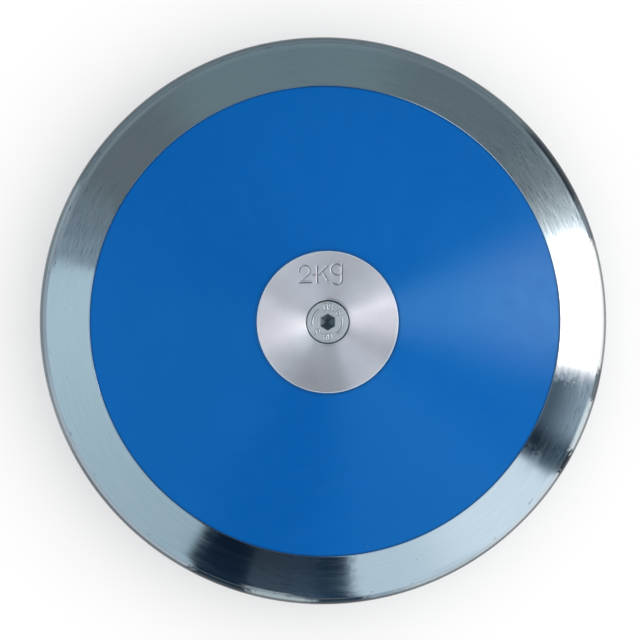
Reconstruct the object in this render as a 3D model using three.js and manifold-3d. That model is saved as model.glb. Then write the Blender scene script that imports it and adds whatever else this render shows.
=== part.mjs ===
// A two-kilogram throwing discus, in millimetres, with its axis along Z and its middle plane at Z = 0.
// A turned steel rim carries two moulded side plates, which drop into a seat on each side of its tongue.
// Each side plate is held by a centre plate, and a countersunk screw pulls that plate on to a steel core.
// The lower pieces are the upper ones turned over, because both sides of a discus are the same.
import * as THREE from "three";
import { mergeVertices } from "three/addons/utils/BufferGeometryUtils.js";
import Module from "manifold-3d";

const wasm = await Module();
wasm.setup();

// Overall sizes, within the limits that the rules give for a men's discus.
const discusDiameter = 220;
const centreThickness = 45;
const edgeRadius = 6.25; // the rim's edge is a true circle in section
const rimWidth = 19.5; // the rim's face, from its edge to the opening that a side plate fills
const centrePlateDiameter = 54;

// Rim.
const seatHeight = 4.5; // half the tongue's thickness: a side plate rests at this height
const seatWidth = 6.5; // how far the tongue reaches in from the opening
const tongueChamfer = 0.6;
const openingEdge = 0.4; // the polished break round the opening

// Side plates.
const seamGap = 0.3; // all round, between a side plate and the rim's opening
const skinThickness = 3;
const plateEdgeBreak = 0.4;
const seatRelief = 0.8; // clears the corner of the rim's seat
const spigotWall = 3;
const spigotClearance = 0.3; // in the bore of the tongue
const spigotGap = 2; // between the ends of the two spigots
const spigotLead = 0.6;
const floorThickness = 3.5; // under the centre plate
const collarWall = 3;
const collarDepth = 8.5; // how far the collar reaches down over the core
const ribCount = 12;
const ribThickness = 2.4;
const ribStep = 1; // the ribs end this far short of the collar's and the spigot's ends

// Countersunk screws, with a ninety-degree head.
const shankDiameter = 8;
const headDiameter = 16;
const headLand = 0.9; // the straight edge above the cone
const headRecess = 0.2; // the head lies this far below the centre plate's face
const screwTipGap = 4.6; // between the two screws' tips
const tipChamfer = 0.8;
const socketAcrossFlats = 5;
const socketDepth = 3.2;
const socketConeDepth = 1.2; // the drilled cone at the socket's bottom
const threadClearance = 0.3; // plain bores and shanks stand for the threads

// Centre plates.
const centreGap = 0.3; // all round, between a centre plate and its recess
const headGap = 0.4; // all round, between a screw's head and its countersink
const underHeadWeb = 0.4; // the metal left below the countersink's cone
const centrePlateChamfer = 0.5;
const screwHoleClearance = 0.5;

// Core and the trim washers that bring the whole up to weight.
const coreDiameter = 26;
const coreGap = 0.3; // between the core and a side plate's collar
const coreChamfer = 1;
const trimWasherThickness = 1;
const trimWashersPerSide = 2;

// How far a rib runs into the walls that it joins, and a cutter past the face that it cuts.
const overrun = 1;

const socketSides = 6;
const ringFacets = 72;
const hubFacets = 48;
const boreFacets = 28;
const edgeFacets = 6; // on each half of the rim's edge circle

// Radii and heights that follow from the sizes above.
const discusRadius = discusDiameter / 2;
const topHeight = centreThickness / 2;
const openingRadius = discusRadius - rimWidth;
const plateRadius = openingRadius - seamGap;
const tongueRadius = openingRadius - seatWidth;
const spigotRadius = tongueRadius - spigotClearance;
const spigotInner = spigotRadius - spigotWall;
const centrePlateRadius = centrePlateDiameter / 2;
const recessRadius = centrePlateRadius + centreGap;
const recessWallRadius = recessRadius + skinThickness;
const shankRadius = shankDiameter / 2;
const headRadius = headDiameter / 2;
const screwHoleRadius = shankRadius + screwHoleClearance;
const headHeight = headLand + headRadius - shankRadius;
const centrePlateThickness = headRecess + headHeight + underHeadWeb;
const recessFloor = topHeight - centrePlateThickness;
const floorUnderside = recessFloor - floorThickness;
const coreRadius = coreDiameter / 2;
const collarInner = coreRadius + coreGap;
const collarOuter = collarInner + collarWall;
const collarEnd = floorUnderside - collarDepth;
const coreEnd = floorUnderside - trimWashersPerSide * trimWasherThickness;
const screwTop = topHeight - headRecess;
const screwTip = screwTipGap / 2;
const spigotEnd = spigotGap / 2;

// The side is one straight taper from the flat centre, and runs into the edge circle as its tangent.
const edgeCentre = discusRadius - edgeRadius;
const taperAngle =
  Math.atan2(topHeight, edgeCentre - recessRadius) -
  Math.asin(edgeRadius / Math.hypot(topHeight, edgeCentre - recessRadius));

function taperHeight(radius) {
  return topHeight - (radius - recessRadius) * Math.tan(taperAngle);
}

function undersideHeight(radius) {
  return taperHeight(radius) - skinThickness / Math.cos(taperAngle);
}

// A ring turned from a closed [radius, height] profile, listed anticlockwise.
function turnedRing(profile, facets) {
  const outline = [...profile, profile[0]].map(([radius, height]) => new THREE.Vector2(radius, height));
  return new THREE.LatheGeometry(outline, facets).rotateX(Math.PI / 2);
}

// A solid turned from a profile that starts and ends on the axis, listed from the bottom up.
function turnedSolid(profile, facets) {
  const outline = profile.map(([radius, height]) => new THREE.Vector2(radius, height));
  return new THREE.LatheGeometry(outline, facets).rotateX(Math.PI / 2);
}

function toManifold(geometry) {
  const bare = geometry.clone();
  bare.deleteAttribute("normal");
  bare.deleteAttribute("uv");
  const merged = mergeVertices(bare);
  return new wasm.Manifold(
    new wasm.Mesh({
      numProp: 3,
      vertProperties: new Float32Array(merged.attributes.position.array),
      triVerts: new Uint32Array(merged.index.array),
    }),
  );
}

function toGeometry(solid) {
  const mesh = solid.getMesh();
  const geometry = new THREE.BufferGeometry();
  geometry.setAttribute("position", new THREE.BufferAttribute(mesh.vertProperties, mesh.numProp));
  geometry.setIndex(new THREE.BufferAttribute(mesh.triVerts, 1));
  geometry.computeVertexNormals();
  return geometry;
}

// The rim: edge circle, straight tapers, an opening on each side and the tongue between the two seats.
function rimGeometry() {
  const upper = [];
  const tangentAngle = Math.PI / 2 - taperAngle;
  for (let step = 0; step <= edgeFacets; step += 1) {
    const angle = (tangentAngle * step) / edgeFacets;
    upper.push([edgeCentre + edgeRadius * Math.cos(angle), edgeRadius * Math.sin(angle)]);
  }
  upper.push([openingRadius + openingEdge, taperHeight(openingRadius + openingEdge)]);
  upper.push([openingRadius, taperHeight(openingRadius) - openingEdge]);
  upper.push([openingRadius, seatHeight]);
  upper.push([tongueRadius + tongueChamfer, seatHeight]);
  upper.push([tongueRadius, seatHeight - tongueChamfer]);
  const lower = upper
    .slice(1)
    .reverse()
    .map(([radius, height]) => [radius, -height]);
  return turnedRing([...upper, ...lower], ringFacets);
}

// The turned form of a side plate: tapered skin, seat land, spigot, recess for the centre plate and collar.
function plateShellGeometry() {
  const profile = [
    [spigotInner, spigotEnd],
    [spigotRadius - spigotLead, spigotEnd],
    [spigotRadius, spigotEnd + spigotLead],
    [spigotRadius, seatHeight],
    [plateRadius - seatRelief, seatHeight],
    [plateRadius, seatHeight + seatRelief],
    [plateRadius, taperHeight(plateRadius) - plateEdgeBreak],
    [plateRadius - plateEdgeBreak, taperHeight(plateRadius - plateEdgeBreak)],
    [recessRadius, topHeight],
    [recessRadius, recessFloor],
    [screwHoleRadius, recessFloor],
    [screwHoleRadius, floorUnderside],
    [collarInner, floorUnderside],
    [collarInner, collarEnd],
    [collarOuter, collarEnd],
    [collarOuter, floorUnderside],
    [recessWallRadius, floorUnderside],
    [recessWallRadius, undersideHeight(recessWallRadius)],
    [spigotInner, undersideHeight(spigotInner)],
  ];
  return turnedRing(profile, ringFacets);
}

// The ribs' lower edge, a straight line from the collar to the spigot.
function ribEdgeHeight(radius) {
  const innerHeight = collarEnd + ribStep;
  const outerHeight = spigotEnd + ribStep;
  const share = (radius - collarOuter) / (spigotInner - collarOuter);
  return innerHeight + (outerHeight - innerHeight) * share;
}

// One radial rib, standing on the X axis. Its top is sunk into the floor and the skin.
function radialRibGeometry() {
  const inner = collarOuter - overrun;
  const outer = spigotInner + overrun;
  const shoulder = recessWallRadius - overrun;
  const side = new THREE.Shape();
  side.moveTo(inner, ribEdgeHeight(collarOuter));
  side.lineTo(outer, ribEdgeHeight(spigotInner));
  side.lineTo(outer, undersideHeight(outer) + overrun);
  side.lineTo(shoulder, undersideHeight(shoulder) + overrun);
  side.lineTo(shoulder, floorUnderside + overrun);
  side.lineTo(inner, floorUnderside + overrun);
  side.closePath();
  const rib = new THREE.ExtrudeGeometry(side, { depth: ribThickness, bevelEnabled: false });
  rib.translate(0, 0, -ribThickness / 2);
  return rib.rotateX(Math.PI / 2);
}

// The ring rib half way along the radial ribs.
function ringRibGeometry() {
  const middle = (recessWallRadius + spigotInner) / 2;
  const inner = middle - ribThickness / 2;
  const outer = middle + ribThickness / 2;
  const profile = [
    [inner, ribEdgeHeight(middle) + ribStep],
    [outer, ribEdgeHeight(middle) + ribStep],
    [outer, undersideHeight(outer) + overrun],
    [inner, undersideHeight(inner) + overrun],
  ];
  return turnedRing(profile, ringFacets);
}

// The finished moulding: the shell with its radial ribs and ring rib joined on inside.
function sidePlateGeometry() {
  let moulding = toManifold(plateShellGeometry()).add(toManifold(ringRibGeometry()));
  for (let index = 0; index < ribCount; index += 1) {
    const rib = radialRibGeometry().rotateZ((2 * Math.PI * (index + 1 / 2)) / ribCount);
    moulding = moulding.add(toManifold(rib));
  }
  return toGeometry(moulding);
}

// A screw's outline, with its head widened by a gap: the same lines make the screw and its countersink.
function headProfile(gap, top, bottom) {
  const coneTop = screwTop - headLand;
  return [
    [shankRadius + gap, bottom],
    [shankRadius + gap, coneTop - (headRadius - shankRadius)],
    [headRadius + gap, coneTop],
    [headRadius + gap, top],
  ];
}

function centrePlateGeometry() {
  const blank = turnedSolid(
    [
      [0, recessFloor],
      [centrePlateRadius - centrePlateChamfer, recessFloor],
      [centrePlateRadius, recessFloor + centrePlateChamfer],
      [centrePlateRadius, topHeight - centrePlateChamfer],
      [centrePlateRadius - centrePlateChamfer, topHeight],
      [0, topHeight],
    ],
    hubFacets,
  );
  const bottom = recessFloor - overrun;
  const top = topHeight + overrun;
  const countersink = turnedSolid([[0, bottom], ...headProfile(headGap, top, bottom), [0, top]], hubFacets);
  const hole = turnedSolid([[0, bottom], [screwHoleRadius, bottom], [screwHoleRadius, top], [0, top]], hubFacets);
  return toGeometry(toManifold(blank).subtract(toManifold(countersink)).subtract(toManifold(hole)));
}

// The hexagon socket with the cone that its drill leaves, as the solid that is cut out of the head.
function socketGeometry() {
  const floor = screwTop - socketDepth;
  const cornerRadius = socketAcrossFlats / 2 / Math.cos(Math.PI / socketSides);
  const profile = [
    [0, floor - socketConeDepth],
    [cornerRadius, floor],
    [cornerRadius, screwTop + overrun],
    [0, screwTop + overrun],
  ];
  return turnedSolid(profile, socketSides);
}

function screwGeometry() {
  const body = turnedSolid(
    [
      [0, screwTip],
      [shankRadius - tipChamfer, screwTip],
      ...headProfile(0, screwTop, screwTip + tipChamfer),
      [0, screwTop],
    ],
    boreFacets,
  );
  return toGeometry(toManifold(body).subtract(toManifold(socketGeometry())));
}

function washerGeometry(level) {
  const top = floorUnderside - level * trimWasherThickness;
  const bottom = top - trimWasherThickness;
  const profile = [
    [screwHoleRadius, bottom],
    [coreRadius, bottom],
    [coreRadius, top],
    [screwHoleRadius, top],
  ];
  return turnedRing(profile, boreFacets);
}

function coreGeometry() {
  const boreRadius = shankRadius + threadClearance;
  const upper = [
    [coreRadius, coreEnd - coreChamfer],
    [coreRadius - coreChamfer, coreEnd],
    [boreRadius + coreChamfer, coreEnd],
    [boreRadius, coreEnd - coreChamfer],
  ];
  const lower = [...upper].reverse().map(([radius, height]) => [radius, -height]);
  return turnedRing([...upper, ...lower], boreFacets);
}

const platedSteel = new THREE.MeshStandardMaterial({ color: 0xb4bdc2, roughness: 0.16, metalness: 1 });
const bluePlastic = new THREE.MeshStandardMaterial({ color: 0x0b5cae, roughness: 0.32, metalness: 0 });
const turnedAluminium = new THREE.MeshStandardMaterial({ color: 0xc4c5cc, roughness: 0.38, metalness: 1 });
const zincedSteel = new THREE.MeshStandardMaterial({ color: 0xaab2b2, roughness: 0.42, metalness: 1 });
const barSteel = new THREE.MeshStandardMaterial({ color: 0x85878a, roughness: 0.5, metalness: 1 });

const discus = new THREE.Group();

function addPiece(name, geometry, material) {
  const piece = new THREE.Mesh(geometry, material);
  piece.name = name;
  discus.add(piece);
  return piece;
}

// A piece and its twin, turned over about the X axis for the other side.
function addPair(name, geometry, material, suffix = "") {
  addPiece(`${name}_upper${suffix}`, geometry, material);
  addPiece(`${name}_lower${suffix}`, geometry, material).rotation.x = Math.PI;
}

addPiece("rim", rimGeometry(), platedSteel);
addPair("side_plate", sidePlateGeometry(), bluePlastic);
addPair("centre_plate", centrePlateGeometry(), turnedAluminium);
addPair("centre_screw", screwGeometry(), zincedSteel);
addPiece("hub_core", coreGeometry(), barSteel);
for (let level = 0; level < trimWashersPerSide; level += 1) {
  addPair("trim_washer", washerGeometry(level), zincedSteel, `_${level + 1}`);
}

export default discus;
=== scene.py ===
# %% [markdown]
# This lesson dresses a throwing discus, the men's two-kilogram implement.
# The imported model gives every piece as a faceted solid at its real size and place.
# Each piece that shows is modelled again here, with true curves and soft edges, and gets its finish.
# The discus lies on a pale floor, and the camera looks down on it from nearly straight above.

# %% Load the fixed frame
from collections import namedtuple
from math import asin, atan2, cos, degrees, hypot, pi, radians, sin, tan

import bmesh
import bpy
from mathutils import Matrix, Vector


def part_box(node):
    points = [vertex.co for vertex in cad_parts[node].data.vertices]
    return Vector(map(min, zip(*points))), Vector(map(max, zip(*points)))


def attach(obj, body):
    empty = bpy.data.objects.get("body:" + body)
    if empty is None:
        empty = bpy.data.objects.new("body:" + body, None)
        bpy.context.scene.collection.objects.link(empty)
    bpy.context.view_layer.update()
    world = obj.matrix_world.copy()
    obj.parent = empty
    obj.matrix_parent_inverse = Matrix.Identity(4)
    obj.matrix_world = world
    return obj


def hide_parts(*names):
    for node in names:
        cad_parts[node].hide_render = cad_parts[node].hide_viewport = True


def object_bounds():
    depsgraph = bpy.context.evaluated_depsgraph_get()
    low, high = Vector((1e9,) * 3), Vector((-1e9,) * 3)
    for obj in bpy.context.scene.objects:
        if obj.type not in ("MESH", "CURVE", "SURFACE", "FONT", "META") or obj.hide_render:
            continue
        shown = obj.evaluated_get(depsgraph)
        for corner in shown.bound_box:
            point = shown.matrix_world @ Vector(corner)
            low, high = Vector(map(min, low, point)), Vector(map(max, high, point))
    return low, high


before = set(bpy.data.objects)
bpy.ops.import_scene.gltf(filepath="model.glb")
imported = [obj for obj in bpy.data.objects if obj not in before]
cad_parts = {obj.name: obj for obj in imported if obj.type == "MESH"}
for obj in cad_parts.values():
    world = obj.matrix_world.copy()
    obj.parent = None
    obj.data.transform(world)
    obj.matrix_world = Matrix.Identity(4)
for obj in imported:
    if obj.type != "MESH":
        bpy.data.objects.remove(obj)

cad_low, cad_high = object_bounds()
print("CAD box in metres:", tuple(cad_low), tuple(cad_high))

# %% [markdown]
# Everything is turned round one axis, so radii and heights say it all.
# The outer sizes come from the frame, and the same few driving sizes as on the real discus give the rest.
# Each side is one straight taper that runs into the round edge as its tangent.
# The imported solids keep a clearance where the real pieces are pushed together, and so leave wide seams.
# Here a seam is as narrow as a press fit shows it.

# %% Read the sizes
MM = 0.001
disc_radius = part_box("rim")[1].x
half_thickness = cad_high.z
edge_radius = 6.25 * MM
edge_centre = disc_radius - edge_radius
clearance = 0.3 * MM
press_fit = 0.1 * MM
opening_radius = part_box("side_plate_upper")[1].x + clearance
plate_radius = opening_radius - press_fit
plate_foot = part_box("side_plate_upper")[0].z
hub_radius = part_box("centre_plate_upper")[1].x
recess_radius = hub_radius + press_fit
hub_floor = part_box("centre_plate_upper")[0].z
screw_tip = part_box("centre_screw_upper")[0].z
screw_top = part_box("centre_screw_upper")[1].z
head_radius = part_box("centre_screw_upper")[1].x

half_chord = hypot(half_thickness, edge_centre - recess_radius)
taper = atan2(half_thickness, edge_centre - recess_radius) - asin(edge_radius / half_chord)


def face_height(radius):
    return half_thickness - (radius - recess_radius) * tan(taper)


print(f"The taper leans {degrees(taper):.2f} degrees")
print(f"The seam between plate and rim lies {face_height(plate_radius) / MM:.2f} mm up")

# %% [markdown]
# A turned piece starts as its section, drawn the way a hand would: one point, then line after line.
# A plane merged to its middle gives that first point, and each extrusion draws a straight line to the next.
# An arc is the last point spun about a centre. A curve object would do too, but mesh edges spin at once.
# Smooth shading bends light over a whole face, so a long straight line gets a point close to each end.
# These holding points keep a wide face flat and leave the bending to the narrow rings at its edges.

# %% Draw an outline in the upright plane
WELD = 0.0005 * MM
LONG_LINE = 8 * MM
HOLD = 0.6 * MM


def first_point(name, across, up):
    bpy.ops.object.select_all(action="DESELECT")
    bpy.ops.mesh.primitive_plane_add(size=MM, location=(across, 0, up))
    piece = bpy.context.object
    piece.name = piece.data.name = name
    bpy.ops.object.transform_apply(location=True, rotation=False, scale=False)
    bpy.ops.object.mode_set(mode="EDIT")
    bpy.ops.mesh.select_mode(type="VERT")
    bpy.ops.mesh.select_all(action="SELECT")
    bpy.ops.mesh.merge(type="CENTER")
    return piece


def line_to(across, up):
    drawn = bmesh.from_edit_mesh(bpy.context.object.data)
    pen = next(point.co.copy() for point in drawn.verts if point.select)
    line = Vector((across, 0, up)) - pen
    steps = [line]
    if line.length > LONG_LINE:
        hold = HOLD * line.normalized()
        steps = [hold, line - 2 * hold, hold]
    for step in steps:
        bpy.ops.mesh.extrude_vertices_move(TRANSFORM_OT_translate={"value": step})


def arc_about(across, up, turn, steps):
    bpy.ops.mesh.spin(steps=steps, angle=radians(turn), center=(across, 0, up), axis=(0, 1, 0))


def draw(name, outline):
    piece = first_point(name, *outline[0])
    for move in outline[1:]:
        if len(move) == 2:
            line_to(*move)
        else:
            arc_about(*move)
    bpy.ops.mesh.select_all(action="SELECT")
    bpy.ops.mesh.remove_doubles(threshold=WELD)
    return piece


# %% [markdown]
# No turned edge is razor sharp: the tool or the polishing wheel takes the corner off.
# Rounding the corner points of the drawn section is cheaper than a bevel on the finished solid,
# and it can pick each corner by its place.

# %% Soften the corners of a drawn outline
CORNER_STEPS = 4


def soften(corners, size):
    for across, up in corners:
        drawn = bmesh.from_edit_mesh(bpy.context.object.data)
        for point in drawn.verts:
            point.select_set(hypot(point.co.x - across, point.co.z - up) < WELD)
        drawn.select_flush_mode()
        bmesh.update_edit_mesh(bpy.context.object.data)
        bpy.ops.mesh.bevel(offset=size, segments=CORNER_STEPS, affect="VERTICES")


# %% [markdown]
# Spinning the section once round the upright axis makes the solid, as the lathe does.
# The seam and the poles are welded, and the normals are pointed outwards after that.

# %% Spin an outline round the axis
SHARP_ANGLE = radians(24)


def spin_round(piece, steps):
    bpy.ops.mesh.select_all(action="SELECT")
    bpy.ops.mesh.spin(steps=steps, angle=2 * pi, center=(0, 0, 0), axis=(0, 0, 1))
    bpy.ops.mesh.select_all(action="SELECT")
    bpy.ops.mesh.remove_doubles(threshold=WELD)
    bpy.ops.mesh.normals_make_consistent(inside=False)
    bpy.ops.object.mode_set(mode="OBJECT")
    bpy.ops.object.shade_smooth_by_angle(angle=SHARP_ANGLE)
    print(f"{piece.name}: {len(piece.data.polygons)} faces, {piece.dimensions.x / MM:.2f} mm across")
    return piece


# %% [markdown]
# The rim is one heavy steel ring with a round edge, a tapered face on each side and a tongue inside.
# Its edge is a true circle in section, so an arc of many steps draws it and no facet shows at the outline.
# The tongue fills the ring of space between the two side plates, and their spigots drop into its bore.

# %% Model the rim
seat_height = 4.5 * MM
seat_width = 6.5 * MM
tongue_radius = opening_radius - seat_width
tongue_chamfer = 0.6 * MM
opening_round = 0.12 * MM
RING_STEPS = 400
EDGE_STEPS = 44
edge_turn = 180 - 2 * degrees(taper)
tangent_radius = edge_centre + edge_radius * sin(taper)
tangent_height = edge_radius * cos(taper)
lip_height = face_height(opening_radius)

rim = draw("rim_ring", [
    (tongue_radius, tongue_chamfer - seat_height),
    (tongue_radius + tongue_chamfer, -seat_height),
    (opening_radius, -seat_height),
    (opening_radius, -lip_height),
    (tangent_radius, -tangent_height),
    (edge_centre, 0, edge_turn, EDGE_STEPS),
    (opening_radius, lip_height),
    (opening_radius, seat_height),
    (tongue_radius + tongue_chamfer, seat_height),
    (tongue_radius, seat_height - tongue_chamfer),
    (tongue_radius, tongue_chamfer - seat_height),
])
soften([(opening_radius, lip_height), (opening_radius, -lip_height)], opening_round)
spin_round(rim, RING_STEPS)

# %% [markdown]
# A side plate is a shallow moulded cone. It drops into the rim's seat and carries the flat centre.
# What shows is the cone, its softened outer corner and the edge of its recess. The underside, with the
# spigot in the rim's bore, a ring of rib half way out and the collar round the core, is drawn too, so
# the piece is a whole one.

# %% Model the upper side plate
wall = 3 * MM
skin = wall / cos(taper)
spigot_outer = tongue_radius - clearance
spigot_inner = spigot_outer - wall
spigot_lead = 0.6 * MM
seat_relief = 0.8 * MM
recess_wall = recess_radius + wall
floor_thickness = 3.5 * MM
floor_underside = hub_floor - floor_thickness
collar_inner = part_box("hub_core")[1].x + clearance
collar_outer = collar_inner + wall
collar_depth = 8.5 * MM
collar_end = floor_underside - collar_depth
screw_hole = 4.5 * MM
plate_corner = 0.15 * MM
recess_corner = 0.4 * MM
rib_thickness = 2.4 * MM
rib_step = 1 * MM
ring_inner = (recess_wall + spigot_inner - rib_thickness) / 2
ring_outer = ring_inner + rib_thickness


def underside(radius):
    return face_height(radius) - skin


def rib_edge(radius):
    at_collar = collar_end + rib_step
    at_spigot = plate_foot + rib_step
    return at_collar + (at_spigot - at_collar) * (radius - collar_outer) / (spigot_inner - collar_outer)


upper_plate = draw("side_plate_upper_cone", [
    (spigot_inner, plate_foot),
    (spigot_outer - spigot_lead, plate_foot),
    (spigot_outer, plate_foot + spigot_lead),
    (spigot_outer, seat_height),
    (plate_radius - seat_relief, seat_height),
    (plate_radius, seat_height + seat_relief),
    (plate_radius, face_height(plate_radius)),
    (recess_radius, half_thickness),
    (recess_radius, hub_floor),
    (screw_hole, hub_floor),
    (screw_hole, floor_underside),
    (collar_inner, floor_underside),
    (collar_inner, collar_end),
    (collar_outer, collar_end),
    (collar_outer, floor_underside),
    (recess_wall, floor_underside),
    (recess_wall, underside(recess_wall)),
    (ring_inner, underside(ring_inner)),
    (ring_inner, rib_edge(ring_inner) + rib_step),
    (ring_outer, rib_edge(ring_inner) + rib_step),
    (ring_outer, underside(ring_outer)),
    (spigot_inner, underside(spigot_inner)),
    (spigot_inner, plate_foot),
])
soften([(plate_radius, face_height(plate_radius))], plate_corner)
soften([(recess_radius, half_thickness)], recess_corner)
spin_round(upper_plate, RING_STEPS)

# %% [markdown]
# Sockets and marks are cut out of a finished solid, and ribs and raised marks are joined to it.
# The tool solid is only needed for that one cut, so it is removed once the modifier is applied.

# %% Cut one solid out of another, or join it on
def combine(piece, tool, operation):
    bpy.ops.object.select_all(action="DESELECT")
    piece.select_set(True)
    bpy.context.view_layer.objects.active = piece
    modifier = piece.modifiers.new(tool.name, "BOOLEAN")
    modifier.operation = operation
    modifier.object = tool
    modifier.solver = "EXACT"
    bpy.ops.object.modifier_apply(modifier=modifier.name)
    bpy.data.objects.remove(tool)


# %% [markdown]
# Twelve radial ribs hold the skin up when the discus lands. They show only once it is opened.
# One is drawn from the side, filled and extruded to its thickness, then copied round the axis.
# Their ends and tops are sunk a little into the walls, so that joining them leaves no crack.

# %% Stand the ribs inside the side plate
RIB_COUNT = 12
rib_sink = 1 * MM
rib_inner = collar_outer - rib_sink
rib_shoulder = recess_wall - rib_sink
rib_outer = spigot_inner + rib_sink

ribs = [draw("rib", [
    (rib_inner, rib_edge(collar_outer)),
    (rib_outer, rib_edge(spigot_inner)),
    (rib_outer, underside(rib_outer) + rib_sink),
    (rib_shoulder, underside(rib_shoulder) + rib_sink),
    (rib_shoulder, floor_underside + rib_sink),
    (rib_inner, floor_underside + rib_sink),
    (rib_inner, rib_edge(collar_outer)),
])]
bpy.ops.mesh.edge_face_add()
bpy.ops.mesh.extrude_region_move(TRANSFORM_OT_translate={"value": (0, rib_thickness, 0)})
bpy.ops.mesh.select_all(action="SELECT")
bpy.ops.transform.translate(value=(0, -rib_thickness / 2, 0))
bpy.ops.mesh.normals_make_consistent(inside=False)
bpy.ops.object.mode_set(mode="OBJECT")
while len(ribs) < RIB_COUNT:
    bpy.ops.object.duplicate(linked=False)
    ribs.append(bpy.context.object)
rib_pitch = 2 * pi / RIB_COUNT
for index, rib in enumerate(ribs):
    rib.rotation_euler.z = (index + 0.5) * rib_pitch
    rib.select_set(True)
bpy.ops.object.transform_apply(location=False, rotation=True, scale=False)
bpy.ops.object.join()
combine(upper_plate, bpy.context.object, "UNION")
bpy.ops.object.shade_smooth_by_angle(angle=SHARP_ANGLE)
print(f"{upper_plate.name}: {len(upper_plate.data.polygons)} faces with its ribs")

# %% [markdown]
# The rules ask for two sides without difference, so each lower piece is a copy turned over.
# A half turn about the X axis keeps every shape as it is, where a mirror would turn it inside out.

# %% Turn a copy over for the far side
def turned_over(piece, name):
    bpy.ops.object.select_all(action="DESELECT")
    piece.select_set(True)
    bpy.context.view_layer.objects.active = piece
    bpy.ops.object.duplicate(linked=False)
    twin = bpy.context.object
    twin.name = twin.data.name = name
    twin.rotation_euler.x = pi
    bpy.ops.object.transform_apply(location=False, rotation=True, scale=False)
    print(f"{name} runs from {twin.bound_box[0][2] / MM:.2f} mm up")
    return twin


lower_plate = turned_over(upper_plate, "side_plate_lower_cone")

# %% [markdown]
# The centre plate is turned from aluminium bar: a flat face, a rounded edge that catches the light,
# and a countersink of ninety degrees that takes the screw's head just below the face.
# It is pressed into its recess, so hardly a seam shows between the two. The countersink is cut last,
# and breaking its burr leaves the face dipping a very little towards it, which bends the light there.

# %% Model the upper centre plate
HUB_STEPS = 256
head_land = 0.9 * MM
sink_gap = 0.34 * MM
sink_radius = head_radius + sink_gap
sink_cone_top = screw_top - head_land
hub_chamfer = 0.5 * MM
hub_corner = 0.45 * MM
sink_corner = 0.12 * MM
dip_width = 1.0 * MM
dip_depth = 0.05 * MM
dip_height = half_thickness - dip_depth

upper_hub = draw("centre_plate_upper_disc", [
    (screw_hole, hub_floor),
    (hub_radius - hub_chamfer, hub_floor),
    (hub_radius, hub_floor + hub_chamfer),
    (hub_radius, half_thickness),
    (sink_radius + dip_width, half_thickness),
    (sink_radius, dip_height),
    (sink_radius, sink_cone_top),
    (screw_hole, sink_cone_top - (sink_radius - screw_hole)),
    (screw_hole, hub_floor),
])
soften([(hub_radius, half_thickness)], hub_corner)
soften([(sink_radius, dip_height)], sink_corner)
spin_round(upper_hub, HUB_STEPS)
lower_hub = turned_over(upper_hub, "centre_plate_lower_disc")

# %% [markdown]
# The screw is a countersunk socket screw. Its head is turned first, with a soft top corner.
# The socket is a hexagon, so a six-sided prism is cut out of it, and poking the prism's lower face
# down gives the cone that the drill leaves at the bottom. Keys wear the mouth of the socket wider,
# so a shallow cone with six sides too opens it a little.

# %% Model the upper screw
SCREW_STEPS = 160
shank_radius = 4 * MM
tip_chamfer = 0.8 * MM
head_corner = 0.3 * MM
cone_bottom = sink_cone_top - (head_radius - shank_radius)
SOCKET_SIDES = 6
socket_flats = 5.2 * MM
socket_depth = 3.2 * MM
socket_cone = 1.2 * MM
mouth_flats = 5.8 * MM
mouth_depth = 0.3 * MM
mouth_excess = 0.1 * MM
FACING_DOWN = -cos(radians(1))

upper_screw = draw("centre_screw_upper_body", [
    (0, screw_tip),
    (shank_radius - tip_chamfer, screw_tip),
    (shank_radius, screw_tip + tip_chamfer),
    (shank_radius, cone_bottom),
    (head_radius, sink_cone_top),
    (head_radius, screw_top),
    (0, screw_top),
])
soften([(head_radius, screw_top)], head_corner)
spin_round(upper_screw, SCREW_STEPS)


def across_corners(flats):
    return flats / cos(pi / SOCKET_SIDES)


bpy.ops.object.select_all(action="DESELECT")
bpy.ops.mesh.primitive_cylinder_add(
    vertices=SOCKET_SIDES,
    radius=across_corners(socket_flats) / 2,
    depth=2 * socket_depth,
    location=(0, 0, screw_top),
)
socket = bpy.context.object
socket.name = "socket"
bpy.ops.object.mode_set(mode="EDIT")
bpy.ops.mesh.select_mode(type="FACE")
prism = bmesh.from_edit_mesh(socket.data)
for side in prism.faces:
    side.select_set(side.normal.z < FACING_DOWN)
bmesh.update_edit_mesh(socket.data)
bpy.ops.mesh.poke(offset=socket_cone)
bpy.ops.object.mode_set(mode="OBJECT")
combine(upper_screw, socket, "DIFFERENCE")

bpy.ops.object.select_all(action="DESELECT")
bpy.ops.mesh.primitive_cone_add(
    vertices=SOCKET_SIDES,
    radius1=across_corners(mouth_flats - 2 * mouth_depth) / 2,
    radius2=across_corners(mouth_flats + 2 * mouth_excess) / 2,
    depth=mouth_depth + mouth_excess,
    location=(0, 0, screw_top + (mouth_excess - mouth_depth) / 2),
)
mouth = bpy.context.object
mouth.name = "mouth"
combine(upper_screw, mouth, "DIFFERENCE")
print(f"The socket measures {socket_flats / MM:.1f} mm across its flats, {socket_depth / MM:.1f} mm deep")

# %% [markdown]
# Marks are single strokes: engraved into the centre plate, and raised on the screw's head.
# A stroke is drawn like an outline, laid flat, and thickened to a rod. A rod sunk half way
# into a face leaves a groove when it is cut out of it, or a soft ridge when it is joined.

# %% Turn a drawn stroke into a rod
ROD_SIDES_LEVEL = 3


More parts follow.
